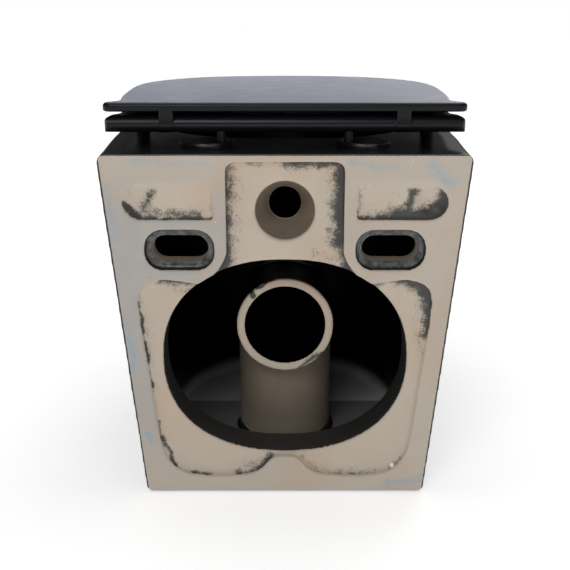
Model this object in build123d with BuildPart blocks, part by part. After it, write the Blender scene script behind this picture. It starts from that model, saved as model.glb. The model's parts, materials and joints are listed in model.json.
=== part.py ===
from build123d import *
import math
import os

# Wall-hung ceramic toilet pan with a slim soft-close seat and lid.
# Origin: midpoint between the two wall-fixing slots, on the wall plane.
# +X is right as seen from behind, +Y points away from the wall, +Z is up. All sizes in mm.

# Pan, outside
deck_z = 92.0
floor_z = -257.0
front_y = 476.0
floor_front_y = 312.0
wall_half_top = 176.6
wall_half_bottom = 142.5
belly_half = 15.0
belly_y = 235.0
shell = 14.0
deck_thickness = 19.0
back_wall = 30.0
bowl_wall = 12.0

# Pan, wall side
slot_spacing = 202.0
slot_length = 54.0
slot_width = 25.6
counterbore_length = 66.0
counterbore_height = 38.6
counterbore_depth = 8.0
counterbore_corner = 17.0
inlet_z = 37.0
inlet_radius = 28.5
inlet_straight = 18.0
jet_radius = 16.0
jet_y = 50.0
outlet_z = -98.0
spigot_y = 65.0
spigot_radius = 51.0
spigot_length = 18.0
spigot_bore = 42.0
leg_radius = 52.0
leg_y = 136.0
trap_radius = 26.0
trap_z = -216.0
trap_floor = -244.5
sump_y = 246.0
sump_radius = 30.0
panel_half = 56.0
panel_top = 84.0
panel_depth = 7.0
field_depth = 4.5
groove_depth = 4.0
groove_inner = 68.0
groove_outer = 140.0
opening_half = 120.6
opening_top = -11.4
opening_bottom = -212.6
opening_collar = 12.0
opening_depth = 46.0

# Seat and lid
hinge_y = 42.0
hinge_z = 115.5
barrel_radius = 8.0
seat_bottom = 107.5
seat_top = 123.5
lid_bottom = 127.5
lid_top = 136.0
rear_y = 31.5
ear_half = 174.5
waist_half = 165.0
wide_half = 179.5
wide_y = 265.0
lid_front = 470.0
dish_depth = 2.5
ring_hole_half = 112.0
ring_hole_back = 122.0
ring_hole_front = 398.0
bumper_gap = 0.3

# Stations along the hinge axis, measured from the middle
bar_end = 106.0
lug_inner = 106.8
lug_outer = 120.2
seat_barrel_inner = 120.9
shaft_end = 150.0
damper_inner = 68.0
running = 0.05

# Dampers, lugs and bushes about the hinge axis
damper_radius = 6.2
chamber_radius = 5.0
rotor_radius = 3.0
vane_width = 1.6
rib_lag = 44
lug_reach = 8.4
bush_bore = 6.0
lid_pivot_radius = 3.5
seat_pivot_radius = 4.5
lid_key = 6.4
seat_key = 8.0

# Hinge bases
pin_x = 61.5
pin_radius = 4.0
pin_top = 119.5
pin_groove_radius = 3.0
base_x = 77.0
base_y = 53.0
base_radius = 25.0
cover_radius = 26.6
cover_top = 98.0
bolt_radius = 3.0
deck_hole = 7.0
clip_z = 113.5
clip_wire = 0.7
button_travel = 1.8
button_back = 48.0
nut_top = 60.0

os.makedirs("parts", exist_ok=True)


def save(part, name):
    """Label a finished piece and write it."""
    part.label = name
    export_step(part, f"parts/{name}.step")


def superellipse(half_x, half_y, power, centre, start, stop, count):
    """Points of a superellipse from one angle to another, in degrees."""
    points = []
    for i in range(count):
        angle = math.radians(start + (stop - start) * i / (count - 1))
        c = math.cos(angle)
        s = math.sin(angle)
        x = half_x * math.copysign(abs(c) ** (2 / power), c)
        y = half_y * math.copysign(abs(s) ** (2 / power), s)
        points.append((centre[0] + x, centre[1] + y))
    return points


def skirt_outline(z, inset, back):
    """Plan outline of the pan at a height: a straight back, flared sides and a round nose."""
    rise = (z - floor_z) / (deck_z - floor_z)
    wall_half = wall_half_bottom + (wall_half_top - wall_half_bottom) * rise - inset
    wide = wall_half + belly_half * rise
    forward = math.sin(math.radians(90 * rise)) ** 0.85
    nose = floor_front_y + (front_y - floor_front_y) * forward - inset
    middle = belly_y * (0.55 + 0.45 * rise)
    side = [(wall_half, back), (wall_half + 0.62 * (wide - wall_half), middle * 0.5)]
    right = side + superellipse(wide, nose - middle, 2.5, (0, middle), 0, 90, 7)
    left = [(-x, y) for x, y in reversed(right[:-1])]
    return right + left


def skirt(inset, back, low, high, levels):
    """Solid of the pan's outside, or of the space within it when inset."""
    with BuildPart() as body:
        for i in range(levels):
            z = low + (high - low) * i / (levels - 1)
            points = skirt_outline(z, inset, back)
            with BuildSketch(Plane.XY.offset(z)):
                with BuildLine():
                    Spline(*points)
                    Line(points[-1], points[0])
                make_face()
        loft()
    return body.part


def bowl(growth):
    """Solid of the bowl's inside, or of its outside when grown by the wall."""
    levels = [
        (deck_z + 1, 279, 142, 161, 2.4),
        (50, 279, 143, 162, 2.4),
        (0, 277, 134, 153, 2.3),
        (-60, 269, 106, 120, 2.2),
        (-115, 258, 70, 78, 2.1),
        (-150, 251, 50, 54, 2.0),
        (-190, sump_y, 38, 40, 2.0),
    ]
    with BuildPart() as body:
        for z, middle, half_x, half_y, power in levels:
            loop = superellipse(half_x + growth, half_y + growth, power, (0, middle), 0, 360, 25)
            with BuildSketch(Plane.XY.offset(z)):
                with BuildLine():
                    Spline(*loop[:-1], periodic=True)
                make_face()
        loft()
    return body.part


# ---------------------------------------------------------------- pan

bowl_inside = bowl(0)
bowl_outside = bowl(bowl_wall)

# The trap: down through the sump, back along the floor, up the leg and out to the wall.
with BuildPart() as trap_outside:
    with BuildSketch(Plane.XY.offset(floor_z + 5)):
        with Locations((0, leg_y)):
            Circle(leg_radius)
    extrude(amount=outlet_z - floor_z - 5)
    with Locations((0, leg_y, outlet_z)):
        Sphere(leg_radius)
    with BuildSketch(Plane.XZ.offset(-spigot_y - spigot_length)):
        with Locations((0, outlet_z)):
            Circle(leg_radius)
    extrude(amount=-(leg_y - spigot_y - spigot_length))
    with BuildSketch(Plane.XZ.offset(-spigot_y)):
        with Locations((0, outlet_z)):
            Circle(spigot_radius)
    extrude(amount=-spigot_length - 5)
    with BuildSketch(Plane.XZ.offset(-leg_y)):
        with Locations((0, trap_z)):
            Circle(trap_radius + bowl_wall)
    extrude(amount=-(sump_y - leg_y))
    with BuildSketch(Plane.XY.offset(floor_z + 5)):
        with Locations((0, sump_y)):
            Circle(sump_radius + 17)
    extrude(amount=-184 - floor_z - 5)

with BuildPart() as trap_inside:
    with BuildSketch(Plane.XY.offset(trap_floor)):
        with Locations((0, leg_y)):
            Circle(trap_radius + 8)
    with BuildSketch(Plane.XY.offset(-165)):
        with Locations((0, leg_y)):
            Circle(spigot_bore)
    loft()
    with BuildSketch(Plane.XY.offset(-165)):
        with Locations((0, leg_y)):
            Circle(spigot_bore)
    extrude(amount=outlet_z + 165)
    with Locations((0, leg_y, outlet_z)):
        Sphere(spigot_bore)
    with BuildSketch(Plane.XZ.offset(-spigot_y + 1)):
        with Locations((0, outlet_z)):
            Circle(spigot_bore)
    extrude(amount=-(leg_y - spigot_y + 1))
    with BuildSketch(Plane.XZ.offset(-leg_y)):
        with Locations((0, trap_z)):
            Circle(trap_radius)
    extrude(amount=-(sump_y - leg_y))
    with BuildSketch(Plane.XY.offset(trap_floor)):
        with Locations((0, sump_y)):
            Circle(sump_radius)
    extrude(amount=-188 - trap_floor)

# The flush inlet: a straight socket, a cone and a jet into the back of the bowl.
with BuildPart() as inlet_outside:
    with BuildSketch(Plane.XZ.offset(-5)):
        with Locations((0, inlet_z)):
            Circle(inlet_radius + 10)
    extrude(amount=-(jet_y + 5))
    with BuildSketch(Plane.XZ.offset(-5)):
        with Locations((0, inlet_z)):
            Circle(jet_radius + 10)
    extrude(amount=-125)

with BuildPart() as inlet_inside:
    with BuildSketch(Plane.YZ):
        with BuildLine():
            Polyline(
                (-1, inlet_z),
                (-1, inlet_z + inlet_radius),
                (panel_depth + inlet_straight, inlet_z + inlet_radius),
                (jet_y, inlet_z + jet_radius),
                (135, inlet_z + jet_radius),
                (135, inlet_z),
                close=True,
            )
        make_face()
    revolve(axis=Axis((0, 0, inlet_z), (0, 1, 0)))

opening_middle = (opening_top + opening_bottom) / 2
opening_height = (opening_top - opening_bottom) / 2


def opening(growth, start, stop):
    """Solid filling the big opening, or the collar round it when grown, between two depths."""
    with BuildPart() as plug:
        with BuildSketch(Plane.XZ.offset(-start)):
            with BuildLine():
                half_x = opening_half + growth
                half_z = opening_height + growth
                rim = superellipse(half_x, half_z, 2.25, (0, opening_middle), 0, 360, 33)
                Spline(*rim[:-1], periodic=True)
            make_face()
        extrude(amount=start - stop)
    return plug.part


# The hollow between skirt and bowl, open to the wall through the big opening and its collar.
hollow_skirt = skirt(shell, back_wall, floor_z + shell, deck_z - deck_thickness, 5)
with BuildPart() as hollow:
    add(hollow_skirt)
    add(bowl_outside, mode=Mode.SUBTRACT)
    add(trap_outside.part, mode=Mode.SUBTRACT)
    add(inlet_outside.part, mode=Mode.SUBTRACT)
    add(opening(opening_collar, back_wall - 2, opening_depth), mode=Mode.SUBTRACT)

outside = skirt(0, -3, floor_z, deck_z, 6)
with BuildPart() as pan:
    add(outside)
    # The wall side is one flat face.
    split(bisect_by=Plane.XZ, keep=Keep.BOTTOM)
    top_rim = pan.faces().sort_by(Axis.Z)[-1].edges()
    fillet(top_rim.filter_by(GeomType.LINE, reverse=True), radius=8)
    bottom_rim = pan.faces().sort_by(Axis.Z)[0].edges()
    fillet(bottom_rim.filter_by(GeomType.LINE, reverse=True), radius=7)
    add(hollow.part, mode=Mode.SUBTRACT)
    add(bowl_inside, mode=Mode.SUBTRACT)
    add(trap_inside.part, mode=Mode.SUBTRACT)
    add(inlet_inside.part, mode=Mode.SUBTRACT)

    # Recessed panel around the inlet, flared below round the fixing bosses.
    with BuildSketch(Plane.XZ) as panel:
        with BuildLine():
            Polyline(
                (-panel_half, panel_top),
                (panel_half, panel_top),
                (panel_half, -4),
                (panel_half + 4, -14),
                (panel_half + 14, -27),
                (-panel_half - 14, -27),
                (-panel_half - 4, -14),
                (-panel_half, -4),
                close=True,
            )
        make_face()
        fillet(panel.vertices().group_by(Axis.Y)[-1], radius=9)
    extrude(amount=-panel_depth, mode=Mode.SUBTRACT)

    # Shallow field round the big opening, in two lobes that part at the foot.
    with BuildSketch(Plane.XZ) as field:
        with BuildLine():
            Spline(
                (0, -216.5),
                (-14.5, -220.5),
                (-25, -231.5),
                (-38, -237.0),
                (-62, -238.5),
                (-88, -238.0),
                (-108, -232.0),
                (-122, -215.0),
                (-127, -194.0),
                (-133, -141.5),
                (-138, -100.0),
                (-142.5, -56.0),
                (-139, -39.0),
                (-127, -31.5),
                (-108, -30.5),
                (-60, -30.5),
            )
            Line((-60, -30.5), (0, -30.5))
            Line((0, -30.5), (0, -216.5))
        make_face()
        mirror(about=Plane.YZ)
    extrude(amount=-field_depth, mode=Mode.SUBTRACT)

    # Shallow grooves above the fixing slots, deepest at their lower edge.
    for start, hollow_x in ((-groove_outer, -groove_outer + 2), (groove_inner, groove_outer - 2)):
        with BuildSketch(Plane.YZ.offset(start)):
            with BuildLine():
                Polyline((-1, 68), (-1, 29), (groove_depth, 30), (0.6, 66), close=True)
            make_face()
        extrude(amount=groove_outer - groove_inner, mode=Mode.SUBTRACT)
        with Locations((hollow_x, -11, 46)):
            Sphere(20, mode=Mode.SUBTRACT)

    # Wall-fixing slots in their counterbores.
    with BuildSketch(Plane.XZ):
        with Locations((-slot_spacing / 2, 0), (slot_spacing / 2, 0)):
            RectangleRounded(counterbore_length, counterbore_height, counterbore_corner)
    extrude(amount=-counterbore_depth, mode=Mode.SUBTRACT)
    with BuildSketch(Plane.XZ):
        with Locations((-slot_spacing / 2, 0), (slot_spacing / 2, 0)):
            SlotOverall(slot_length, slot_width)
    extrude(amount=-back_wall - 1, mode=Mode.SUBTRACT)

    # Big opening that the waste pipe comes through.
    add(opening(0, -1, opening_depth + 1), mode=Mode.SUBTRACT)

    # Holes in the deck for the hinge bolts.
    with Locations((-base_x, base_y, deck_z), (base_x, base_y, deck_z)):
        Hole(deck_hole, depth=deck_thickness + 1)
save(pan.part, "pan")

# ---------------------------------------------------------------- hinge bases


def hinge_side(side):
    """The covered eccentric base and the pin on one side of the deck."""
    place = "right" if side > 0 else "left"
    with BuildPart() as base:
        with BuildSketch(Plane.XY.offset(deck_z + 1.1)):
            with Locations((side * base_x, base_y)):
                Circle(base_radius)
            with Locations((side * pin_x, hinge_y)):
                Circle(pin_radius, mode=Mode.SUBTRACT)
        extrude(amount=3.1)
        with Locations((side * base_x, base_y, deck_z + 4.2)):
            CounterSinkHole(bolt_radius + 0.1, 6.2, depth=6)
    save(base.part, f"hinge_base_{place}")

    with BuildPart() as cover:
        with BuildSketch(Plane.XY.offset(deck_z + 1.3)):
            with Locations((side * base_x, base_y)):
                Circle(cover_radius)
        extrude(amount=cover_top - deck_z - 1.3)
        fillet(cover.edges().sort_by(Axis.Z)[-1], radius=1.2)
        with BuildSketch(Plane.XY.offset(deck_z + 1.3)):
            with Locations((side * base_x, base_y)):
                Circle(base_radius + 0.2)
        extrude(amount=3.1, mode=Mode.SUBTRACT)
        with BuildSketch(Plane.XY.offset(deck_z)):
            with Locations((side * pin_x, hinge_y)):
                Circle(pin_radius + 0.15)
        extrude(amount=8, mode=Mode.SUBTRACT)
    save(cover.part, f"hinge_cover_{place}")

    with BuildPart() as pin:
        with BuildSketch(Plane.YZ.offset(side * pin_x)):
            with BuildLine():
                Polyline(
                    (hinge_y, deck_z + 1.2),
                    (hinge_y + pin_radius - 0.02, deck_z + 1.2),
                    (hinge_y + pin_radius - 0.02, clip_z - 1),
                    (hinge_y + pin_groove_radius, clip_z - 1),
                    (hinge_y + pin_groove_radius, clip_z + 1),
                    (hinge_y + pin_radius - 0.02, clip_z + 1),
                    (hinge_y + pin_radius - 0.02, pin_top - 1.5),
                    (hinge_y + pin_radius - 1.5, pin_top),
                    (hinge_y, pin_top),
                    close=True,
                )
            make_face()
        revolve(axis=Axis((side * pin_x, hinge_y, 0), (0, 0, 1)))
    save(pin.part, f"hinge_pin_{place}")


hinge_side(-1)
hinge_side(1)

base_places = [(-base_x, base_y), (base_x, base_y)]
with BuildPart() as base_gaskets:
    with BuildSketch(Plane.XY.offset(deck_z + 0.02)):
        with Locations(*base_places):
            Circle(base_radius + 0.5)
            Circle(deck_hole, mode=Mode.SUBTRACT)
    extrude(amount=1.03)
save(base_gaskets.part, "base_gaskets")

with BuildPart() as expanding_sleeves:
    with BuildSketch(Plane.XY.offset(nut_top + 0.1)):
        with Locations(*base_places):
            Circle(9.5)
            Circle(bolt_radius + 0.1, mode=Mode.SUBTRACT)
    extrude(amount=12)
    outer_rims = expanding_sleeves.edges().filter_by(GeomType.CIRCLE).sort_by(SortBy.RADIUS)[-4:]
    fillet(outer_rims, radius=3)
    with BuildSketch(Plane.XY.offset(nut_top + 11)):
        with Locations(*base_places):
            Circle(deck_hole - 0.1)
            Circle(bolt_radius + 0.1, mode=Mode.SUBTRACT)
    extrude(amount=deck_z - nut_top - 11.2)
save(expanding_sleeves.part, "expanding_sleeves")

with BuildPart() as clamp_nuts:
    with BuildSketch(Plane.XY.offset(nut_top)):
        with Locations(*base_places):
            RegularPolygon(6.3, 6)
            Circle(bolt_radius + 0.02, mode=Mode.SUBTRACT)
    extrude(amount=-7)
save(clamp_nuts.part, "clamp_nuts")

with BuildPart() as base_bolts:
    for x, y in base_places:
        with BuildSketch(Plane.XZ.offset(-y)):
            with BuildLine():
                Polyline(
                    (x, nut_top - 12),
                    (x + bolt_radius, nut_top - 12),
                    (x + bolt_radius, deck_z + 1.2),
                    (x + 5.8, deck_z + 4.0),
                    (x, deck_z + 4.0),
                    close=True,
                )
            make_face()
        revolve(axis=Axis((x, y, 0), (0, 0, 1)))
        with BuildSketch(Plane((x, y, deck_z + 4.0))):
            RegularPolygon(2.3, 6)
        extrude(amount=-2, mode=Mode.SUBTRACT)
save(base_bolts.part, "base_bolts")

# ---------------------------------------------------------------- hinge bar


def along_axis(x):
    """Sketch plane across the hinge axis at a station along it."""
    return Plane(origin=(x, hinge_y, hinge_z), x_dir=(0, 1, 0), z_dir=(1, 0, 0))


with BuildPart() as hinge_bar:
    with BuildSketch(along_axis(-bar_end)):
        Circle(barrel_radius)
    extrude(amount=2 * bar_end)
    # Seats for the dampers, flat underneath so that they can't turn.
    for x in (-bar_end, damper_inner):
        with BuildSketch(along_axis(x)):
            Circle(damper_radius + running)
            with Locations((0, -damper_radius + 0.7 - running)):
                Rectangle(14, 2, align=(Align.CENTER, Align.MAX), mode=Mode.SUBTRACT)
        extrude(amount=bar_end - damper_inner, mode=Mode.SUBTRACT)
    # Cored middle, open below.
    with BuildSketch(Plane.XY.offset(hinge_z - barrel_radius - 1)):
        with Locations((-25, hinge_y), (25, hinge_y)):
            Rectangle(44, 8)
    extrude(amount=barrel_radius + 4, mode=Mode.SUBTRACT)
    for side in (-1, 1):
        # Socket of the pin, slot of the clip and pocket of the button.
        with BuildSketch(Plane.XY.offset(hinge_z - barrel_radius - 1)):
            with Locations((side * pin_x, hinge_y)):
                Circle(pin_radius + running)
        extrude(amount=pin_top + 0.3 - hinge_z + barrel_radius + 1, mode=Mode.SUBTRACT)
        with BuildSketch(Plane.XY.offset(clip_z - 1)):
            with Locations((side * pin_x, hinge_y)):
                Rectangle(10.6, 20, align=(Align.CENTER, Align.MIN))
                Circle(5.3)
                Rectangle(10.6, 7.2, align=(Align.CENTER, Align.MAX))
        extrude(amount=2, mode=Mode.SUBTRACT)
        with BuildSketch(Plane.XZ.offset(-(button_back - button_travel - 0.2))):
            with Locations((side * pin_x, clip_z)):
                Rectangle(12, 5)
        extrude(amount=-8, mode=Mode.SUBTRACT)
save(hinge_bar.part, "hinge_bar")

with BuildPart() as pin_clips:
    for side in (-1, 1):
        leg = pin_groove_radius + running + clip_wire
        x = side * pin_x
        with BuildLine():
            Polyline(
                (x - leg, hinge_y + 4.5, clip_z),
                (x - leg, hinge_y - 6, clip_z),
                (x + leg, hinge_y - 6, clip_z),
                (x + leg, hinge_y + 4.5, clip_z),
            )
        with BuildSketch(Plane((x - leg, hinge_y + 4.5, clip_z), z_dir=(0, -1, 0))):
            Circle(clip_wire)
        sweep(transition=Transition.RIGHT)
save(pin_clips.part, "pin_clips")

for side, place in ((-1, "left"), (1, "right")):
    with BuildPart() as button:
        with BuildSketch(Plane.XZ.offset(-button_back)):
            with Locations((side * pin_x, clip_z)):
                Rectangle(11.6, 4.6)
        extrude(amount=-2.6)
        fillet(button.faces().sort_by(Axis.Y)[-1].edges(), radius=0.6)
        with BuildSketch(Plane.XZ.offset(-button_back + 1.05)):
            with Locations((side * pin_x, clip_z)):
                Rectangle(5.6, 1.6)
        extrude(amount=-1.2)
    save(button.part, f"release_button_{place}")

# ---------------------------------------------------------------- dampers

chamber_start = damper_inner + 2
chamber_stop = bar_end - 7


def outward(side, x):
    """Sketch plane across the hinge axis on one side, with its normal pointing outwards."""
    return Plane(origin=(side * x, hinge_y, hinge_z), x_dir=(0, 1, 0), z_dir=(side, 0, 0))


for side, name in ((-1, "lid_damper"), (1, "seat_damper")):
    with BuildPart() as body:
        with BuildSketch(outward(side, damper_inner + 0.1)):
            Circle(damper_radius)
            with Locations((0, -side * (damper_radius + 0.3))):
                Rectangle(14, 2, mode=Mode.SUBTRACT)
        extrude(amount=bar_end - damper_inner - 3.1)
        with BuildSketch(outward(side, chamber_start)):
            Circle(chamber_radius)
        extrude(amount=40, mode=Mode.SUBTRACT)
        # Two ribs that the vanes squeeze grease past, set back so that the vanes can turn.
        with BuildSketch(outward(side, chamber_start)):
            with PolarLocations(0, 2, start_angle=90 - side * rib_lag):
                Rectangle(chamber_radius + 0.3, vane_width, align=(Align.MIN, Align.CENTER))
            Circle(rotor_radius + 0.1, mode=Mode.SUBTRACT)
        extrude(amount=chamber_stop - chamber_start)
    save(body.part, f"{name}_body")

    with BuildPart() as cap:
        with BuildSketch(outward(side, bar_end - 2.9)):
            Circle(damper_radius - 0.9)
            Circle(rotor_radius + running, mode=Mode.SUBTRACT)
        extrude(amount=2.8)
        with BuildSketch(outward(side, chamber_stop + 2.2)):
            Circle(chamber_radius - 0.02)
            Circle(rotor_radius + running, mode=Mode.SUBTRACT)
        extrude(amount=bar_end - 2.9 - chamber_stop - 2.2)
    save(cap.part, f"{name}_cap")

    with BuildPart() as shaft:
        with BuildSketch(outward(side, chamber_start + 0.2)):
            Circle(rotor_radius)
        extrude(amount=lug_inner - chamber_start - 0.2)
        with BuildSketch(outward(side, chamber_start + 0.2)):
            Rectangle(vane_width, 2 * chamber_radius - 0.2)
        extrude(amount=chamber_stop - chamber_start - 0.4)
        if side < 0:
            # Keyed in the lid's lug, then the round pivot of the seat.
            with BuildSketch(outward(side, lug_inner)):
                Circle(4.0)
                Rectangle(8.2, lid_key, mode=Mode.INTERSECT)
            extrude(amount=lug_outer - lug_inner)
            with BuildSketch(outward(side, lug_outer)):
                Circle(seat_pivot_radius)
            extrude(amount=shaft_end - lug_outer)
        else:
            # Round through the lid's lug, then keyed in the seat's barrel.
            with BuildSketch(outward(side, lug_inner - 0.4)):
                Circle(lid_pivot_radius)
            extrude(amount=seat_barrel_inner - lug_inner + 0.4)
            with BuildSketch(outward(side, seat_barrel_inner)):
                Circle(5.0)
                Rectangle(10.2, seat_key, mode=Mode.INTERSECT)
            extrude(amount=shaft_end - seat_barrel_inner)
    save(shaft.part, f"{name}_shaft")

with BuildPart() as damper_seals:
    for side in (-1, 1):
        with BuildSketch(outward(side, chamber_stop + 0.1)):
            Circle(chamber_radius - 0.03)
            Circle(rotor_radius + running, mode=Mode.SUBTRACT)
        extrude(amount=2.0)
save(damper_seals.part, "damper_seals")

# ---------------------------------------------------------------- seat and lid


def seat_outline(inset):
    """Outline of lid and seat: eared rear corners, waisted sides and a square-round nose."""
    rear = rear_y + inset
    ear = ear_half - inset
    waist = (waist_half - inset, rear_y + 36)
    wide = wide_half - inset
    nose_length = lid_front - inset - wide_y
    nose = superellipse(wide, nose_length, 2.3, (0, wide_y), 0, 90, 9)
    with BuildSketch() as outline:
        with BuildLine():
            Line((0, rear), (ear - 9, rear))
            ThreePointArc((ear - 9, rear), (ear - 2.64, rear + 2.64), (ear, rear + 9))
            Bezier((ear, rear + 9), (ear, rear_y + 20), (waist[0], rear_y + 22), waist)
            side = [waist, (169.5 - inset, 110), (175 - inset, 170)]
            Spline(*side, *nose, tangents=((0, 1), (-1, 0)))
            Line((0, lid_front - inset), (0, rear))
        make_face()
        mirror(about=Plane.YZ)
    return outline.sketch


with BuildPart() as lid:
    with BuildSketch(Plane.XY.offset(lid_bottom)):
        add(seat_outline(0))
    extrude(amount=lid_top - lid_bottom)
    fillet(lid.faces().sort_by(Axis.Z)[-1].edges(), radius=3.6)
    fillet(lid.faces().sort_by(Axis.Z)[0].edges(), radius=2.2)
    # Shallow dish in the underside.
    with BuildSketch(Plane.XY.offset(lid_bottom)):
        with BuildLine():
            dish = superellipse(156, 182, 3.0, (0, 268), 0, 360, 33)
            Spline(*dish[:-1], periodic=True)
        make_face()
    extrude(amount=dish_depth, mode=Mode.SUBTRACT)
    for start in (-lug_outer, lug_inner):
        with BuildSketch(along_axis(start)):
            Circle(lug_reach)
            with BuildLine():
                Polyline(
                    (rear_y - hinge_y, lid_bottom - hinge_z + 3),
                    (rear_y - hinge_y, 7),
                    (-lug_reach, 0),
                    (lug_reach, 0),
                    (lug_reach, lid_bottom - hinge_z + 3),
                    close=True,
                )
            make_face()
        extrude(amount=lug_outer - lug_inner)
    with BuildSketch(along_axis(-lug_outer - 0.1)):
        Circle(4.0 + running)
        Rectangle(9, lid_key + 2 * running, mode=Mode.INTERSECT)
    extrude(amount=lug_outer - lug_inner + 0.2, mode=Mode.SUBTRACT)
    with BuildSketch(along_axis(lug_inner - 0.1)):
        Circle(bush_bore)
    extrude(amount=lug_outer - lug_inner + 0.2, mode=Mode.SUBTRACT)
save(lid.part, "lid")

with BuildPart() as lid_bush:
    with BuildSketch(along_axis(lug_inner)):
        Circle(bush_bore - 0.03)
        Circle(lid_pivot_radius + running, mode=Mode.SUBTRACT)
    extrude(amount=lug_outer - lug_inner)
save(lid_bush.part, "lid_bush")

notch_depth = hinge_y + barrel_radius + 2.5
with BuildPart() as seat_ring:
    with BuildSketch(Plane.XY.offset(seat_bottom)):
        add(seat_outline(0.8))
        Rectangle(
            2 * seat_barrel_inner,
            notch_depth,
            align=(Align.CENTER, Align.MIN),
            mode=Mode.SUBTRACT,
        )
        with BuildLine():
            ring_middle = (ring_hole_back + ring_hole_front) / 2
            ring_half = (ring_hole_front - ring_hole_back) / 2
            hole = superellipse(ring_hole_half, ring_half, 2.25, (0, ring_middle), 0, 360, 33)
            Spline(*hole[:-1], periodic=True)
        make_face(mode=Mode.SUBTRACT)
    extrude(amount=seat_top - seat_bottom)
    ring_top = seat_ring.faces().sort_by(Axis.Z)[-1]
    fillet(ring_top.inner_wires()[0].edges(), radius=5)
    ring_top = seat_ring.faces().sort_by(Axis.Z)[-1]
    fillet(ring_top.outer_wire().edges().filter_by(GeomType.BSPLINE), radius=3)
    # The rear edge is a full round about the hinge axis, from each lug out to the ear.
    for start in (seat_barrel_inner, -ear_half):
        with BuildSketch(along_axis(start)):
            Rectangle(14, 24, align=(Align.MAX, Align.CENTER))
            Circle(barrel_radius, mode=Mode.SUBTRACT)
        extrude(amount=ear_half - seat_barrel_inner, mode=Mode.SUBTRACT)
    # Rounded shoulders and soles of the ears, seen from behind.
    tip = ear_half - 0.8
    with BuildSketch(Plane.XZ.offset(-rear_y + 5)):
        with BuildLine():
            Bezier(
                (tip - 10, seat_top),
                (tip - 3, seat_top),
                (tip, seat_top - 3),
                (tip, seat_top - 8),
            )
            Polyline(
                (tip, seat_top - 8),
                (tip + 2, seat_top - 8),
                (tip + 2, seat_top + 1),
                (tip - 10, seat_top + 1),
                (tip - 10, seat_top),
            )
        make_face()
        with BuildLine():
            Bezier(
                (tip - 3, seat_bottom),
                (tip - 1, seat_bottom),
                (tip, seat_bottom + 1),
                (tip, seat_bottom + 3),
            )
            Polyline(
                (tip, seat_bottom + 3),
                (tip + 2, seat_bottom + 3),
                (tip + 2, seat_bottom - 1),
                (tip - 3, seat_bottom - 1),
                (tip - 3, seat_bottom),
            )
        make_face()
        mirror(about=Plane.YZ)
    extrude(amount=-41, mode=Mode.SUBTRACT)
    with BuildSketch(along_axis(-shaft_end - 1)):
        Circle(bush_bore)
    extrude(amount=shaft_end + 1 - seat_barrel_inner, mode=Mode.SUBTRACT)
    with BuildSketch(along_axis(seat_barrel_inner)):
        Circle(5.0 + running)
        Rectangle(11, seat_key + 2 * running, mode=Mode.INTERSECT)
    extrude(amount=shaft_end + 1 - seat_barrel_inner, mode=Mode.SUBTRACT)
save(seat_ring.part, "seat_ring")

with BuildPart() as seat_bush:
    with BuildSketch(along_axis(-shaft_end - 0.9)):
        Circle(bush_bore - 0.03)
        Circle(seat_pivot_radius + running, mode=Mode.SUBTRACT)
    extrude(amount=shaft_end + 0.9 - seat_barrel_inner)
save(seat_bush.part, "seat_bush")

with BuildPart() as seat_bumpers:
    with BuildSketch(Plane.XY.offset(deck_z + bumper_gap)):
        with Locations((-160, 190), (160, 190)):
            SlotOverall(26, 13, rotation=90)
        with Locations((97, 429)):
            SlotOverall(22, 12, rotation=-34)
        with Locations((-97, 429)):
            SlotOverall(22, 12, rotation=34)
    extrude(amount=seat_bottom - deck_z - bumper_gap)
    fillet(seat_bumpers.edges().group_by(Axis.Z)[0], radius=2)
save(seat_bumpers.part, "seat_bumpers")

with BuildPart() as lid_bumpers:
    with BuildSketch(Plane.XY.offset(seat_top + bumper_gap)):
        with Locations((-146, 240), (146, 240), (-70, 428), (70, 428)):
            Circle(6)
    extrude(amount=lid_bottom + dish_depth - seat_top - bumper_gap)
    fillet(lid_bumpers.edges().group_by(Axis.Z)[0], radius=1.2)
save(lid_bumpers.part, "lid_bumpers")
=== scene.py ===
import json
import math
from types import SimpleNamespace

import bmesh
import bpy
import numpy as np
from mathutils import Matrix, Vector


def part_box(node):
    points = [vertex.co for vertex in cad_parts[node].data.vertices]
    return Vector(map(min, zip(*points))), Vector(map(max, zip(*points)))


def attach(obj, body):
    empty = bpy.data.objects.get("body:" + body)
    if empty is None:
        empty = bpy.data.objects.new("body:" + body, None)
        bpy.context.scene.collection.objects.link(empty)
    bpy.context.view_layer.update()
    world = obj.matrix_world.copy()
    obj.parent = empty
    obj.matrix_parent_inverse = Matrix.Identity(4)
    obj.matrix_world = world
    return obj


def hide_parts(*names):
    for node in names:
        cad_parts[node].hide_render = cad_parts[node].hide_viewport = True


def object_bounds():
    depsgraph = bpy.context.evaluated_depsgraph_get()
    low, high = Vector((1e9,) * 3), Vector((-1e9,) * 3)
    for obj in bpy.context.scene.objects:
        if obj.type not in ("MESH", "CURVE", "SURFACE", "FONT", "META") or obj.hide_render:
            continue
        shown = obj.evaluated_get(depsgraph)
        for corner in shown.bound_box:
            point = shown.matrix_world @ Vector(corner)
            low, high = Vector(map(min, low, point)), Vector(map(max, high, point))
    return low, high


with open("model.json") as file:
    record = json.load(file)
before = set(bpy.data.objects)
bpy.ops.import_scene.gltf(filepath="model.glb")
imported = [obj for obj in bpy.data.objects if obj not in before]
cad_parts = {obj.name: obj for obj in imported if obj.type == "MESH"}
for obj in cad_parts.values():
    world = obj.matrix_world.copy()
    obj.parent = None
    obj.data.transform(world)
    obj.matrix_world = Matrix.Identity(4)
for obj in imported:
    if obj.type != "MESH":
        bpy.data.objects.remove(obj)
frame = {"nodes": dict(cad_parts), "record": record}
cad_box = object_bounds()

MM = 0.001

# ------------------------------------------------------------------ node helpers


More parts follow.
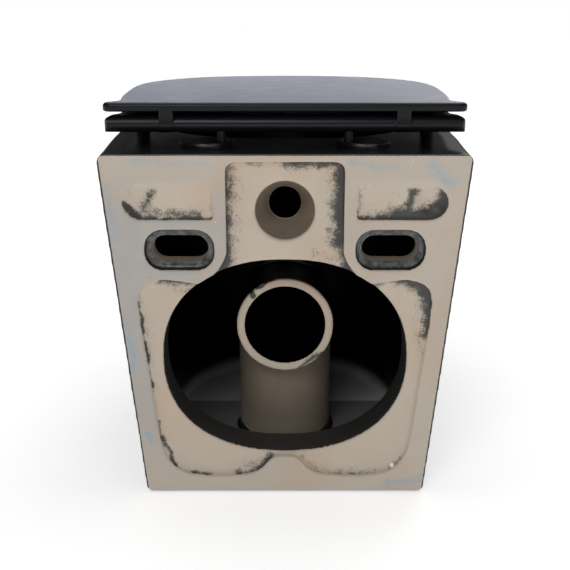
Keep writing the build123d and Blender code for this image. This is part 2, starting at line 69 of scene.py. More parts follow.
def srgb(r, g, b):
    """Linear colour from 8-bit display values."""
    parts = []
    for value in (r, g, b):
        share = value / 255
        parts.append(share / 12.92 if share <= 0.04 else ((share + 0.055) / 1.055) ** 2.4)
    return tuple(parts)


class Shader:
    """A node material whose values are wired by short calls."""

    def __init__(self, name):
        self.material = bpy.data.materials.new(name)
        self.material.use_nodes = True
        self.tree = self.material.node_tree
        self.tree.nodes.clear()
        output = self.tree.nodes.new("ShaderNodeOutputMaterial")
        self.surface = self.tree.nodes.new("ShaderNodeBsdfPrincipled")
        self.tree.links.new(self.surface.outputs[0], output.inputs["Surface"])
        self.place = self.tree.nodes.new("ShaderNodeTexCoord").outputs["Object"]

    def put(self, value, socket):
        """Wire a socket, or set a plain value."""
        if isinstance(value, bpy.types.NodeSocket):
            self.tree.links.new(value, socket)
        elif isinstance(value, tuple) and socket.type == "RGBA":
            socket.default_value = (*value, 1.0)
        else:
            socket.default_value = value

    def set(self, **inputs):
        """Give the surface's inputs their values; _ in a name stands for a space."""
        for name, value in inputs.items():
            self.put(value, self.surface.inputs[name.replace("_", " ")])

    def moved(self, stretch, shift):
        """The place on the object, stretched and shifted so that patterns differ."""
        mapping = self.tree.nodes.new("ShaderNodeMapping")
        self.put(self.place, mapping.inputs["Vector"])
        mapping.inputs["Scale"].default_value = stretch
        mapping.inputs["Location"].default_value = (shift, shift * 1.7, -shift)
        return mapping.outputs[0]

    def noise(self, scale, detail=4.0, roughness=0.55, stretch=(1, 1, 1), shift=0.0):
        """Cloudy noise between 0 and 1, with scale counted in features per metre."""
        node = self.tree.nodes.new("ShaderNodeTexNoise")
        self.put(self.moved(stretch, shift), node.inputs["Vector"])
        node.inputs["Scale"].default_value = scale
        node.inputs["Detail"].default_value = detail
        node.inputs["Roughness"].default_value = roughness
        return node.outputs["Fac"]

    def specks(self, scale, radius, shift=0.0):
        """Small round specks: 1 inside a speck, 0 outside."""
        node = self.tree.nodes.new("ShaderNodeTexVoronoi")
        self.put(self.moved((1, 1, 1), shift), node.inputs["Vector"])
        node.inputs["Scale"].default_value = scale
        return self.span(node.outputs["Distance"], radius, radius * 0.5)

    def attribute(self, name):
        """A number painted on the mesh."""
        node = self.tree.nodes.new("ShaderNodeAttribute")
        node.attribute_name = name
        return node.outputs["Fac"]

    def math(self, operation, a, b=0.0):
        node = self.tree.nodes.new("ShaderNodeMath")
        node.operation = operation
        self.put(a, node.inputs[0])
        self.put(b, node.inputs[1])
        return node.outputs[0]

    def times(self, a, b):
        return self.math("MULTIPLY", a, b)

    def plus(self, a, b):
        return self.math("ADD", a, b)

    def span(self, value, start, stop):
        """0 at start, 1 at stop, smooth between."""
        node = self.tree.nodes.new("ShaderNodeMapRange")
        node.interpolation_type = "SMOOTHSTEP"
        self.put(value, node.inputs["Value"])
        node.inputs["From Min"].default_value = start
        node.inputs["From Max"].default_value = stop
        return node.outputs["Result"]

    def mix(self, share, a, b):
        """Colour a where share is 0, colour b where it is 1."""
        node = self.tree.nodes.new("ShaderNodeMix")
        node.data_type = "RGBA"
        factor, first, second = node.inputs[0], node.inputs[6], node.inputs[7]
        self.put(share, factor)
        self.put(a, first)
        self.put(b, second)
        return node.outputs[2]

    def level(self, share, a, b):
        """Number a where share is 0, number b where it is 1."""
        node = self.tree.nodes.new("ShaderNodeMix")
        self.put(share, node.inputs[0])
        self.put(a, node.inputs[2])
        self.put(b, node.inputs[3])
        return node.outputs[0]

    def bump(self, height, distance, strength=1.0, below=None):
        """A normal raised by height, over the normal of a coarser or finer bump below."""
        node = self.tree.nodes.new("ShaderNodeBump")
        node.inputs["Strength"].default_value = strength
        node.inputs["Distance"].default_value = distance
        self.put(height, node.inputs["Height"])
        if below is not None:
            self.put(below, node.inputs["Normal"])
        return node.outputs["Normal"]


def scaled(tone, factor):
    """A colour made lighter or darker."""
    return tuple(value * factor for value in tone)


# ------------------------------------------------------------------ materials


def satin_plastic(name, tone, roughness):
    """Moulded satin plastic: fine orange peel, faint cloudiness and rubbed patches."""
    s = Shader(name)
    cloud = s.noise(6, 5)
    rub = s.noise(35, 6, 0.7, shift=3.1)
    scratch = s.span(s.noise(25, 8, 0.75, stretch=(1, 9, 9), shift=7.7), 0.62, 0.7)
    base = s.mix(cloud, scaled(tone, 0.8), scaled(tone, 1.25))
    base = s.mix(s.times(scratch, 0.05), base, scaled(tone, 3))
    s.set(Base_Color=base, Roughness=s.level(rub, roughness - 0.05, roughness + 0.07))
    s.set(Normal=s.bump(s.noise(900, 2), 0.00004, 0.3), Specular_IOR_Level=0.28)
    return s.material


def gloss_plastic(name, tone):
    """Glossy moulded plastic with slightly wavy reflections."""
    s = Shader(name)
    wave = s.noise(60, 3)
    s.set(Base_Color=s.mix(wave, tone, scaled(tone, 1.6)), Roughness=s.level(wave, 0.07, 0.14))
    s.set(Normal=s.bump(s.noise(300, 2), 0.00003, 0.3), Coat_Weight=0.3)
    return s.material


def turned_steel(name, tone):
    """Turned stainless steel with fine rings round an upright axis."""
    s = Shader(name)
    rings = s.noise(500, 3, stretch=(0.05, 0.05, 6))
    s.set(Base_Color=s.mix(rings, scaled(tone, 0.75), tone), Metallic=1.0)
    s.set(Roughness=s.level(rings, 0.2, 0.38), Normal=s.bump(rings, 0.00003, 0.4))
    return s.material


def cast_metal(name, tone):
    """Die-cast zinc with a dark passivated skin."""
    s = Shader(name)
    grain = s.noise(400, 4)
    s.set(Base_Color=s.mix(grain, tone, scaled(tone, 1.5)), Metallic=0.6)
    s.set(Roughness=s.level(grain, 0.4, 0.6), Normal=s.bump(grain, 0.00008, 0.6))
    return s.material


def soft_rubber(name, tone):
    """Matt rubber with a little dust on it."""
    s = Shader(name)
    grain = s.noise(500, 4)
    dust = s.span(s.noise(90, 6, 0.7), 0.5, 0.75)
    s.set(Base_Color=s.mix(dust, tone, scaled(tone, 1.8)), Roughness=s.level(grain, 0.6, 0.75))
    s.set(Normal=s.bump(grain, 0.00008, 0.5))
    return s.material


CLAY_TAN, CLAY_PALE, CLAY_WARM = srgb(198, 185, 168), srgb(209, 198, 183), srgb(206, 176, 150)
CLAY_GRAIN, CLAY_PORE = srgb(164, 150, 134), srgb(96, 88, 78)
RUBBED_GREY, SMUDGE_BLUE = srgb(170, 173, 175), srgb(150, 180, 196)
LINT_WHITE, SPOT_WHITE = srgb(244, 244, 242), srgb(246, 246, 246)
# Painted shade: the darker browns given to the clay in the sockets, the slot walls and the trap's
# leg.
SHADED_SOCKET_DARK, SHADED_SOCKET_LIGHT = srgb(112, 100, 86), srgb(142, 128, 112)
RESIDUE_DARK, RESIDUE_PALE, RESIDUE_SOLID = srgb(52, 55, 53), srgb(108, 112, 100), srgb(34, 37, 38)
GLAZE_DARK, GLAZE_LIGHT, GLAZE_UNLIT = srgb(11, 11, 13), srgb(20, 20, 23), srgb(2, 2, 2)
LEDGE_DARK, LEDGE_LIGHT = srgb(52, 54, 53), srgb(122, 126, 122)
# Painted light: the pale grey that stands in for light falling on the hollow's dull up-facing floor;
# also a little on the dull wall of the opening.
HOLLOW_DULL_AND_PAINTED_LIGHT = srgb(205, 205, 203)


def bare_clay(s, grain):
    """Fired clay: warm patches, pale rubbed rims, blue smudges, fine pores, lint; sockets painted
    darker brown as shade.
    """
    clay = s.mix(s.noise(9, 4, shift=1.3), CLAY_TAN, CLAY_PALE)
    warm = s.span(s.noise(12, 4, 0.6, shift=5.2), 0.42, 0.68)
    clay = s.mix(s.times(warm, 0.5), clay, CLAY_WARM)
    rubbed = s.times(s.attribute("rubbed"), s.level(s.noise(50, 5), 0.3, 1.0))
    clay = s.mix(rubbed, clay, RUBBED_GREY)
    bruise = s.plus(s.times(s.attribute("smudge"), 0.5), s.noise(70, 7, 0.75, shift=9.0))
    clay = s.mix(s.times(s.span(bruise, 0.62, 1.0), 0.8), clay, SMUDGE_BLUE)
    clay = s.mix(s.times(grain, 0.35), clay, CLAY_GRAIN)
    pores = s.times(s.specks(260, 0.14), s.span(s.noise(30, 3, shift=2.0), 0.5, 0.62))
    clay = s.mix(s.times(pores, 0.6), clay, CLAY_PORE)
    lint = s.times(s.specks(120, 0.07, 4.0), s.span(s.noise(14, 2, shift=8.0), 0.55, 0.6))
    clay = s.mix(lint, clay, LINT_WHITE)
    socket = s.mix(s.noise(40, 5, stretch=(1, 1, 0.3)), SHADED_SOCKET_DARK, SHADED_SOCKET_LIGHT)
    # Painted shade: where shade is painted on the mesh, the clay turns the darker socket brown.
    return s.mix(s.attribute("shade"), clay, socket)


def residue_film(s):
    """Colour and cover of the glaze residue: solid in the crevices, breaking into specks outside."""
    residue = s.attribute("residue")
    fine, broad = s.noise(480, 8, 0.8, shift=0.7), s.noise(110, 6, 0.7, shift=6.0)
    fleck = s.plus(s.times(fine, 0.6), s.times(broad, 0.4))
    film = s.plus(residue, s.times(s.plus(fleck, -0.5), 3.0))
    cover = s.times(s.span(film, 0.3, 0.85), s.span(residue, 0.02, 0.2))
    blotch = s.span(s.noise(200, 6, 0.75, shift=2.6), 0.4, 0.62)
    tone = s.mix(blotch, RESIDUE_DARK, RESIDUE_PALE)
    return s.mix(s.span(residue, 0.3, 0.95), tone, RESIDUE_SOLID), cover


def black_glaze(s, dull_and_painted_light, deep):
    """Black glaze, thin and grey on the ledges round the slots, dull in the hollow and painted pale
    there as painted light on its floor.
    """
    glaze = s.mix(s.noise(14, 4), GLAZE_DARK, GLAZE_LIGHT)
    ledge = s.mix(s.span(s.noise(170, 5, 0.7), 0.35, 0.7), LEDGE_DARK, LEDGE_LIGHT)
    glaze = s.mix(s.times(s.attribute("ledge"), s.level(s.noise(60, 5), 0.55, 1.0)), glaze, ledge)
    # Painted light on the hollow's floor, and a dull grey on the opening's wall: both are painted
    # towards pale grey here.
    glaze = s.mix(s.times(dull_and_painted_light, s.level(s.noise(26, 5), 0.6, 1.0)), glaze, HOLLOW_DULL_AND_PAINTED_LIGHT)
    return s.mix(deep, glaze, GLAZE_UNLIT)


def ceramic():
    """Satin black glaze on the shown sides, bare fired clay with glaze residue on the wall side.

    The numbers that paint_pan() puts on the mesh say which of them each place shows.
    """
    s = Shader("black_glaze_and_bare_clay")
    grain = s.noise(620, 3, 0.7)
    tone, cover = residue_film(s)
    clay = s.mix(s.times(cover, 0.94), bare_clay(s, grain), tone)
    clay = s.mix(s.span(s.attribute("spot"), 0.3, 0.45), clay, SPOT_WHITE)
    dull_and_painted_light, deep = s.attribute("hollow"), s.attribute("deep")
    # The glaze ends in a ragged line on the clay.
    edge = s.span(s.plus(s.attribute("bare"), s.times(s.noise(330, 5, 0.7), 0.3)), 0.6, 0.7)
    s.set(Base_Color=s.mix(edge, black_glaze(s, dull_and_painted_light, deep), clay))
    glaze_rough = s.level(dull_and_painted_light, s.level(s.noise(40, 5, 0.6), 0.24, 0.36), 0.6)
    s.set(Roughness=s.level(edge, glaze_rough, s.level(cover, 0.9, 0.45)))
    s.set(IOR=s.level(deep, 1.5, 1.0))
    fine = s.bump(s.times(grain, edge), 0.00012, 0.6)
    flow = s.bump(s.noise(130, 4, 0.6), 0.00014, 0.5, below=fine)
    s.set(Normal=s.bump(s.times(cover, s.noise(300, 4)), 0.0002, 0.5, below=flow))
    return s.material


# ------------------------------------------------------------------ mesh helpers


def welded_copy(node, name):
    """A new object holding a CAD node's surface as one closed mesh."""
    work = bmesh.new()
    work.from_mesh(frame["nodes"][node].data)
    bmesh.ops.remove_doubles(work, verts=work.verts, dist=2e-6)
    mesh = bpy.data.meshes.new(name)
    work.to_mesh(mesh)
    work.free()
    piece = bpy.data.objects.new(name, mesh)
    bpy.context.scene.collection.objects.link(piece)
    return piece


def remesh(piece, voxel):
    """Turn a piece's surface into small even quads."""
    modifier = piece.modifiers.new("even", "REMESH")
    modifier.mode = "VOXEL"
    modifier.voxel_size = voxel
    graph = bpy.context.evaluated_depsgraph_get()
    mesh = bpy.data.meshes.new_from_object(piece.evaluated_get(graph))
    piece.modifiers.clear()
    piece.data = mesh


def vertex_rows(mesh, field):
    """Each vertex's place ("co") or normal ("normal") as a row of three numbers."""
    values = np.empty(len(mesh.vertices) * 3, np.float32)
    mesh.vertices.foreach_get(field, values)
    return values.reshape(-1, 3).astype(float)


def edge_pairs(mesh):
    """Each edge's two vertex numbers."""
    pairs = np.empty(len(mesh.edges) * 2, np.int32)
    mesh.edges.foreach_get("vertices", pairs)
    return pairs.reshape(-1, 2)


def relaxed(points, pairs, rounds, share):
    """Points moved towards the mean of their neighbours, a few times."""
    count = np.maximum(np.bincount(pairs.ravel(), minlength=len(points)), 1)
    for _ in range(rounds):
        mean = np.empty_like(points)
        for axis in range(3):
            total = np.bincount(pairs[:, 0], points[pairs[:, 1], axis], len(points))
            total += np.bincount(pairs[:, 1], points[pairs[:, 0], axis], len(points))
            mean[:, axis] = total / count
        points = points + share * (mean - points)
    return points


def move_vertices(mesh, points):
    """Put the vertices at new places."""
    mesh.vertices.foreach_set("co", points.astype(np.float32).ravel())
    mesh.update()


def paint(mesh, name, values):
    """Store one number per vertex, for Shader.attribute() to read."""
    layer = mesh.attributes.new(name, "FLOAT", "POINT")
    layer.data.foreach_set("value", np.asarray(values, np.float32))


def smooth_step(start, stop, value):
    """0 at start, 1 at stop, smooth between; start may be above stop."""
    t = np.clip((value - start) / (stop - start), 0, 1)
    return t * t * (3 - 2 * t)


# Directions and phases of the waves that make a hand-finished surface uneven.
SWELL_WAVES = [
    ((1, 0.6, 0.3), 0.4),
    ((-0.5, 1, 0.7), 2.1),
    ((0.4, -0.7, 1), 4.4),
    ((0.9, 0.8, -0.9), 1.3),
]


def swell(points, length):
    """Slow unevenness between -1 and 1, with waves about one length long."""
    total = np.zeros(len(points))
    for (x, y, z), phase in SWELL_WAVES:
        wave = (points[:, 0] * x + points[:, 1] * y + points[:, 2] * z) * 2 * math.pi / length
        total += np.sin(wave + phase + 1.3 * np.sin(wave * 0.37 + phase))
    return total / len(SWELL_WAVES)


# ------------------------------------------------------------------ pan

PAN_VOXEL = 1.6 * MM
SLOW_WAVE, SLOW_HEIGHT = 90 * MM, 0.18 * MM
SHORT_WAVE, SHORT_HEIGHT = 23 * MM, 0.06 * MM

# The pan's own sizes, in mm.
WALL_HALF_TOP, WALL_HALF_FOOT = 176.6, 142.5
INLET_Z, INLET_RADIUS, JET_RADIUS, JET_Y = 37.0, 28.5, 16.0, 50.0
LEG_Y, LEG_RADIUS = 136.0, 52.0
OUTLET_Z, SPIGOT_RADIUS, SPIGOT_BORE, SPIGOT_Y = -98.0, 51.0, 42.0, 65.0
OPENING_HALF, OPENING_RISE, OPENING_Z, OPENING_POWER = 120.6, 100.6, -112.0, 2.25
OPENING_DEPTH = 46.0
SLOT_X, SLOT_FLAT = 101.0, 14.2
LEDGE_FLAT_X, LEDGE_FLAT_Z, LEDGE_CORNER = 16.0, 2.3, 17.0
# Every recess of the wall side is shallower than this.
RECESS_LIMIT = 9.5
# Painted light: the hollow's floor is painted lighter in front of this line, where it would face the
# light more.
HOLLOW_SEAM = 198.0

# Glaze residue in the recesses, as strokes on the wall side: both ends (x, z), reach and strength.
RESIDUE = [
    # panel: right side, its foot, top edge, left side
    ((57, 80), (57, 10), 24, 1.15),
    ((58, 12), (62, -26), 20, 0.95),
    ((24, -6), (56, -18), 14, 0.42),
    ((4, 86), (54, 84), 17, 0.95),
    ((-36, 86), (8, 86), 11, 0.72),
    ((-58, 80), (-58, 40), 22, 0.85),
    ((-58, 56), (-58, -24), 15, 1.05),
    ((-46, 76), (-42, 62), 13, 0.42),
    ((-48, 40), (-46, 10), 12, 0.4),
    # groove above the left slot: end dent, lower edge
    ((-151, 44), (-138, 29), 6, 1.25),
    ((-138, 29), (-70, 29.5), 6, 1.25),
    ((-70, 29.5), (-65, 25), 4, 1.0),
    ((-126, 56), (-133, 40), 10, 0.85),
    ((-134, 36), (-80, 35), 12, 0.7),
    ((-148, 58), (-136, 50), 14, 0.34),
    ((-146, 68), (-90, 70), 3, 0.9),
    # groove above the right slot: end dent, lower edge
    ((150, 62), (155, 46), 15, 1.25),
    ((155, 44), (140, 31), 18, 1.45),
    ((140, 31), (108, 30), 19, 1.45),
    ((114, 29), (68, 27), 12, 1.3),
    ((108, 36), (84, 34), 18, 0.62),
    ((121, 58), (118, 40), 11, 0.9),
    ((126, 67), (146, 66), 9, 0.85),
    ((80, 66), (124, 68), 6, 0.45),
    ((96, 58), (106, 50), 12, 0.25),
    # field left of the opening
    ((-143.5, -50), (-134, -140), 3.5, 1.15),
    ((-138, -46), (-132, -146), 12, 0.36),
    ((-120, -29), (-84, -29), 14, 0.95),
    ((-110, -32), (-98, -42), 12, 0.6),
    ((-129, -180), (-124, -208), 4, 0.7),
    ((-126, -196), (-112, -230), 5, 1.0),
    ((-104, -238), (-72, -240), 5, 0.95),
    ((-50, -240), (-30, -237), 9, 1.0),
    ((-30, -237), (-15, -220), 10, 1.0),
    ((-40, -230), (-22, -222), 12, 0.45),
    # field right of the opening
    ((72, -30), (122, -29), 13, 0.8),
    ((112, -30), (134, -36), 15, 0.95),
    ((134, -36), (143, -54), 18, 1.15),
    ((143, -54), (140, -84), 14, 1.05),
    ((128, -52), (136, -112), 12, 0.36),
    ((18, -218), (30, -234), 10, 0.5),
    ((28, -238), (104, -241), 13, 0.55),
    ((104, -241), (130, -214), 9, 0.75),
]

# Stains on the spigot's end face.
RING_RESIDUE = [
    ((-36, -59), (-33, -64), 5, 1.8),
    ((-29, -56), (-12, -49), 3, 1.3),
    ((14, -145), (40, -128), 5, 0.9),
]

# A white spot of slip in the right lobe of the field: its middle (x, z) and reach.
WHITE_DOT, DOT_REACH = (110.0, -229.0), 3.4

# Blue smudges on the raised rim.
SMUDGES = [
    ((-152, -84), (-150, -120), 9, 0.8),
    ((-138, -190), (-136, -200), 6, 0.9),
    ((60, 84), (104, 80), 8, 0.7),
    ((138, 80), (156, 66), 14, 0.8),
    ((104, -248), (138, -242), 9, 0.8),
    ((-168, 60), (-160, 10), 9, 0.65),
    ((-150, 86), (-70, 82), 8, 0.6),
]


def strokes(x, z, marks):
    """Strength of the strongest stroke at each point, fading evenly over its wavering reach."""
    x = x + 1.1 * np.sin(z / 5.3 + 0.8 * np.sin(x / 7.1)) + 0.7 * np.sin(z / 2.1 + x / 3.7)
    z = z + 1.1 * np.sin(x / 6.1 + 0.9 * np.sin(z / 4.3)) + 0.7 * np.sin(x / 2.3 - z / 3.1)
    value = np.zeros(len(x))
    for (x0, z0), (x1, z1), reach, strength in marks:
        dx, dz = x1 - x0, z1 - z0
        along = np.clip(((x - x0) * dx + (z - z0) * dz) / (dx * dx + dz * dz), 0, 1)
        distance = np.hypot(x - x0 - along * dx, z - z0 - along * dz)
        value = np.maximum(value, strength * np.clip(1 - distance / reach, 0, 1))
    return value


def lowest(*distances):
    """The least of several distances at each point: inside all of their zones where above 0."""
    return np.minimum.reduce([np.broadcast_to(d, distances[0].shape) for d in distances])


def places(mesh, points):
    """Each point's place on the pan, and how far it is from the features there, in mm."""
    x, y, z = (points / MM).T
    low, high = (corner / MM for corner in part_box("pan"))
    half = WALL_HALF_FOOT + (WALL_HALF_TOP - WALL_HALF_FOOT) * (z - low.z) / (high.z - low.z)
    span_x = (np.abs(x) / OPENING_HALF) ** OPENING_POWER
    span_z = (np.abs(z - OPENING_Z) / OPENING_RISE) ** OPENING_POWER
    beyond_rim = 1 - (span_x + span_z) ** (-1 / OPENING_POWER)
    from_slot = np.abs(np.abs(x) - SLOT_X)
    past_x = np.maximum(from_slot - LEDGE_FLAT_X, 0)
    past_z = np.maximum(np.abs(z) - LEDGE_FLAT_Z, 0)
    return SimpleNamespace(
        x=x,
        y=y,
        z=z,
        faces_up=vertex_rows(mesh, "normal")[:, 2] > 0,
        inside_wall_side=lowest(half - np.abs(x) - 1.9, high.z - z - 1.2, z - low.z - 1.2),
        off_opening=np.hypot(x, z - OPENING_Z) * beyond_rim,
        to_ledge=np.hypot(past_x, past_z),
        to_slot=np.hypot(np.maximum(from_slot - SLOT_FLAT, 0), z),
        to_leg=np.hypot(x, y - LEG_Y),
        to_spigot=np.hypot(x, z - OUTLET_Z),
        to_inlet=np.hypot(x, z - INLET_Z),
    )


def paint_clay(mesh, at, ring):
    """Where the clay is bare and where it is painted a darker brown as shade, from the distance
    inside each bare zone.

    The glaze line runs where a distance changes sign.
    """
    x, y, z = at.x, at.y, at.z
    past_ledge = at.to_ledge - LEDGE_CORNER - 0.4
    wall_side = lowest(at.inside_wall_side, at.off_opening - 0.2, past_ledge, RECESS_LIMIT - y)
    outer = lowest(SPIGOT_RADIUS + 3 - at.to_spigot, at.to_spigot - SPIGOT_BORE - 3)
    sleeve = lowest(outer, LEG_Y - 50 - y, y - SPIGOT_Y, OUTLET_Z - 26 - z)
    outside_bore = lowest(at.to_leg - SPIGOT_BORE - 3, at.to_spigot - SPIGOT_BORE - 3)
    foot = z + 243 - 0.004 * x * x
    leg = lowest(LEG_RADIUS + 4 - at.to_leg, outside_bore, OUTLET_Z - 30 - z, foot)
    socket = lowest(INLET_RADIUS + 2 - at.to_inlet, JET_Y - y, at.off_opening - 1, y - 1)
    slot_wall = lowest(15 - at.to_slot, y - 9, 31 - y)
    bare = np.maximum.reduce([wall_side, ring, sleeve, leg, socket, slot_wall])
    paint(mesh, "bare", np.clip(0.5 + bare / 4, 0, 1))
    # Painted shade: the trap's leg and sleeve, the inlet bore past its mouth and the slot walls are
    # painted darker brown; on the trap it eases by a quarter towards the bottom.
    on_trap = smooth_step(-1, 2, np.maximum(leg, sleeve)) * (ring < 0)
    shade = (1 - 0.25 * smooth_step(-130, -235, z)) * on_trap
    shade = np.maximum(shade, smooth_step(0, 3, socket) * smooth_step(8, 12, y) * 0.92)
    paint(mesh, "shade", np.maximum(shade, 0.75 * smooth_step(-1, 1, slot_wall)))


def paint_glaze(mesh, at):
    """Where the glaze is thin on the slots' ledges, dull in the hollow with painted light on its
    floor, or too deep to be lit.
    """
    x, y, z = at.x, at.y, at.z
    on_ledge = smooth_step(LEDGE_CORNER + 1.5, LEDGE_CORNER + 0.5, at.to_ledge)
    paint(mesh, "ledge", on_ledge * (y < 10) * smooth_step(5, 7, y))
    pipe = lowest(SPIGOT_BORE + 0.5 - at.to_spigot, y - SPIGOT_Y - 1, 200 - y)
    column = lowest(SPIGOT_BORE + 1 - at.to_leg, OUTLET_Z - z, z + 246)
    jet = lowest(JET_RADIUS + 1 - at.to_inlet, y - JET_Y + 2, 140 - y)
    paint(mesh, "deep", np.maximum.reduce([pipe, column, jet]) > 0)
    beside_leg = (y > OPENING_DEPTH + 2) * (at.to_leg > LEG_RADIUS + 4)
    # Painted light: the hollow's up-facing floor is painted pale as a pool of light, and brighter
    # past the seam.
    floor = smooth_step(-225, -240, z) * beside_leg * at.faces_up
    floor = floor * (0.4 + 0.6 * smooth_step(HOLLOW_SEAM, HOLLOW_SEAM + 1.5, y))
    collar = 0.065 * (np.abs(at.off_opening) < 3) * (y > 1) * (y < OPENING_DEPTH)
    paint(mesh, "hollow", np.maximum(floor, collar))


def paint_wear(mesh, at, ring):
    """Glaze residue in the recesses; rubbing and smudges on the rim; the white spot."""
    x, y, z = at.x, at.y, at.z
    recessed = smooth_step(0.25, 1.4, y) * (y < RECESS_LIMIT)
    in_recess = strokes(x, z, RESIDUE) * recessed
    paint(mesh, "residue", np.maximum(in_recess, strokes(x, z, RING_RESIDUE) * (ring > -1)))
    rim = (1 - recessed) * (y < 3)
    worn = smooth_step(140, -150, x) * smooth_step(84, 30, z) * smooth_step(-262, -150, z)
    paint(mesh, "rubbed", rim * (0.25 + 0.75 * worn))
    paint(mesh, "smudge", rim * strokes(x, z, SMUDGES))
    to_dot = np.hypot(x - WHITE_DOT[0], z - WHITE_DOT[1])
    paint(mesh, "spot", recessed * np.clip(1 - to_dot / DOT_REACH, 0, 1))


def paint_pan(mesh, points):
    """Put every number that ceramic() reads on the pan's mesh."""
    at = places(mesh, points)
    in_band = lowest(SPIGOT_RADIUS + 2 - at.to_spigot, at.to_spigot - SPIGOT_BORE - 0.4)
    ring = lowest(in_band, 3 - np.abs(at.y - SPIGOT_Y))
    paint_clay(mesh, at, ring)
    paint_glaze(mesh, at)
    paint_wear(mesh, at, ring)


def pan_skin():
    """The pan with softened cast edges and a slight unevenness, in place of the exact solid."""
    piece = welded_copy("pan", "pan_body")
    remesh(piece, PAN_VOXEL)
    mesh = piece.data
    sharp = vertex_rows(mesh, "co")
    move_vertices(mesh, relaxed(sharp, edge_pairs(mesh), 4, 0.5))
    paint_pan(mesh, sharp)
    soft = vertex_rows(mesh, "co")
    normal = vertex_rows(mesh, "normal")
    uneven = swell(soft, SLOW_WAVE) * SLOW_HEIGHT + swell(soft, SHORT_WAVE) * SHORT_HEIGHT
    move_vertices(mesh, soft + normal * uneven[:, None])
    mesh.shade_smooth()
    mesh.materials.clear()
    mesh.materials.append(ceramic())
    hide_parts("pan")
    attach(piece, "pan")


# ------------------------------------------------------------------ the other nodes

def finish_nodes():
    """Give every CAD node but the pan the material of its slot."""
    finishes = {
        "seat_plastic": satin_plastic("satin_duroplast", srgb(13, 14, 18), 0.34),
        "hinge_plastic": satin_plastic("satin_nylon", srgb(17, 18, 25), 0.3),
        "cover_gloss": gloss_plastic("gloss_black_plastic", srgb(11, 11, 13)),
        "steel": turned_steel("stainless_steel", srgb(205, 205, 203)),
        # Painted shade: the hinge pins' passivated steel is painted near black, as dark as the shade
        # under the hinge bar.
        "black_steel": satin_plastic("passivated_steel_darkened_as_shade", srgb(4, 4, 5), 0.45),
        "zinc": cast_metal("dark_zinc", srgb(66, 66, 70)),
        "damper_plastic": satin_plastic("natural_acetal", srgb(206, 206, 198), 0.4),
        "rubber": soft_rubber("black_rubber", srgb(24, 24, 25)),
        # Painted shade: the bumpers' rubber is painted darker than the other rubber, as dark as the
        # shade under the seat.
        "bumper_rubber": soft_rubber("bumper_rubber_darkened_as_shade", srgb(14, 14, 15)),
    }
    for row in frame["record"]["subparts"]:
        if row["material_slot"] in finishes:
            mesh = frame["nodes"][row["node"]].data
            mesh.materials.clear()
            mesh.materials.append(finishes[row["material_slot"]])


# ------------------------------------------------------------------ stage, light and camera

FLOOR_HALF = 30.0
FLOOR_GAP = 1 * MM
WORLD_BEHIND, WORLD_FRONT = 0.09, 0.05
# Lights: name, size, watts, place and target, then any tint and the one node it lights.
LIGHTS = [
    ("key", (1.0, 0.7), 10.6, (-0.4, -1.5, 1.25), (0, 0, -0.05)),
    ("fill", (1.4, 1.0), 3, (1.1, -1.4, 0.7), (0, 0, -0.1)),
    ("overhead", (2.4, 1.6), 22, (0, 0.6, 2.0), (0, 0.2, 0)),
    # A long low strip far in front, whose bluish sheen lies on the lid alone.
    ("sheen", (5.0, 0.3), 34, (0, 4.5, 0.42), (0, 0.2, 0.1), (0.84, 0.86, 1.0), "lid"),
    ("front", (1.6, 1.0), 14, (1.2, 2.6, 1.7), (0, 0.3, -0.05)),
]
CAMERA_PLACE = (0, -0.830, 0.211)
CAMERA_DOWN = math.radians(16.2)
CAMERA_LENS, CAMERA_SHIFT = 56.6, -0.0074


def add_floor():
    """A pale floor that runs far out, just under the object."""
    half = FLOOR_HALF
    level = cad_box[0].z - FLOOR_GAP
    mesh = bpy.data.meshes.new("floor")
    corners = [(-half, -half, level), (half, -half, level), (half, half, level), (-half, half, level)]
    mesh.from_pydata(corners, [], [(0, 1, 2, 3)])
    floor = bpy.data.objects.new("floor", mesh)
    bpy.context.scene.collection.objects.link(floor)
    s = Shader("pale_floor")
    tone = s.mix(s.noise(3, 3), srgb(249, 249, 249), srgb(252, 252, 252))
    s.set(Base_Color=tone, Roughness=0.95)
    # It glows a little more further out, so that it fades into the white background.
    reach = s.tree.nodes.new("ShaderNodeVectorMath")
    reach.operation = "LENGTH"
    s.put(s.place, reach.inputs[0])
    glow = s.level(s.span(reach.outputs["Value"], 0.6, 3.0), 0.5, 1.0)
    s.set(Specular_IOR_Level=0.0, Emission_Color=(1.0, 1.0, 1.0), Emission_Strength=glow)
    mesh.materials.append(s.material)


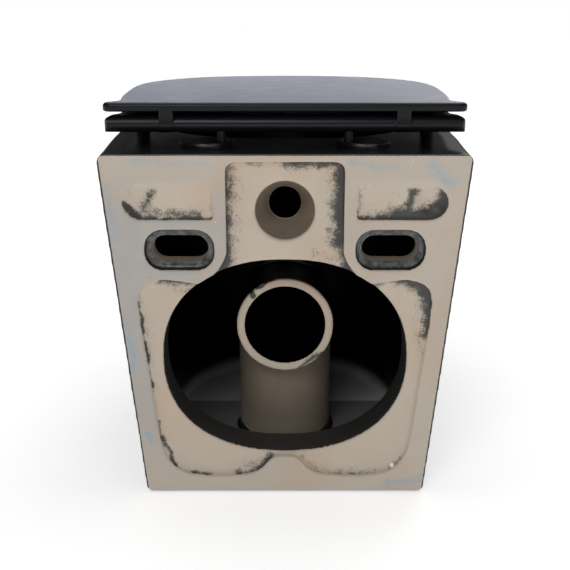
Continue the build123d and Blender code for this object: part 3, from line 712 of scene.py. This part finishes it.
def add_light(name, size, energy, location, target, tint=(1.0, 1.0, 1.0), only=None):
    """A soft rectangular light; with only, it lights one CAD node and nothing else."""
    data = bpy.data.lights.new(name, "AREA")
    data.color = tint
    data.shape = "RECTANGLE"
    data.size, data.size_y = size
    data.energy = energy
    light = bpy.data.objects.new(name, data)
    light.location = location
    light.rotation_euler = (Vector(target) - Vector(location)).to_track_quat("-Z", "Y").to_euler()
    light.visible_camera = False
    bpy.context.scene.collection.objects.link(light)
    if only is not None:
        lit = bpy.data.collections.new(name)
        lit.objects.link(frame["nodes"][only])
        light.light_linking.receiver_collection = lit


def add_world():
    """White to the camera; as light, dim, and a little brighter on the wall side than in front."""
    world = bpy.data.worlds.new("studio")
    world.use_nodes = True
    tree = world.node_tree
    background = tree.nodes["Background"]
    background.inputs["Color"].default_value = (1, 1, 1, 1)
    direction = tree.nodes.new("ShaderNodeSeparateXYZ")
    tree.links.new(tree.nodes.new("ShaderNodeTexCoord").outputs["Generated"], direction.inputs[0])
    front = tree.nodes.new("ShaderNodeMapRange")
    front.interpolation_type = "SMOOTHSTEP"
    tree.links.new(direction.outputs["Y"], front.inputs["Value"])
    front.inputs["From Min"].default_value = -0.4
    front.inputs["From Max"].default_value = 0.7
    front.inputs["To Min"].default_value = WORLD_BEHIND
    front.inputs["To Max"].default_value = WORLD_FRONT
    seen = tree.nodes.new("ShaderNodeMix")
    path = tree.nodes.new("ShaderNodeLightPath")
    tree.links.new(path.outputs["Is Camera Ray"], seen.inputs[0])
    tree.links.new(front.outputs["Result"], seen.inputs[2])
    seen.inputs[3].default_value = 1.0
    tree.links.new(seen.outputs[0], background.inputs["Strength"])
    bpy.context.scene.world = world


def add_camera():
    """Behind the pan, close and a little above, looking down at the wall side."""
    data = bpy.data.cameras.new("camera")
    data.sensor_width = 36
    data.lens = CAMERA_LENS
    data.shift_y = CAMERA_SHIFT
    data.clip_start = 0.01
    camera = bpy.data.objects.new("camera", data)
    camera.location = CAMERA_PLACE
    camera.rotation_euler = (math.pi / 2 - CAMERA_DOWN, 0, 0)
    bpy.context.scene.collection.objects.link(camera)
    bpy.context.scene.camera = camera


pan_skin()
finish_nodes()
add_floor()
add_world()
for light in LIGHTS:
    add_light(*light)
add_camera()
bpy.context.scene.view_settings.view_transform = "Standard"
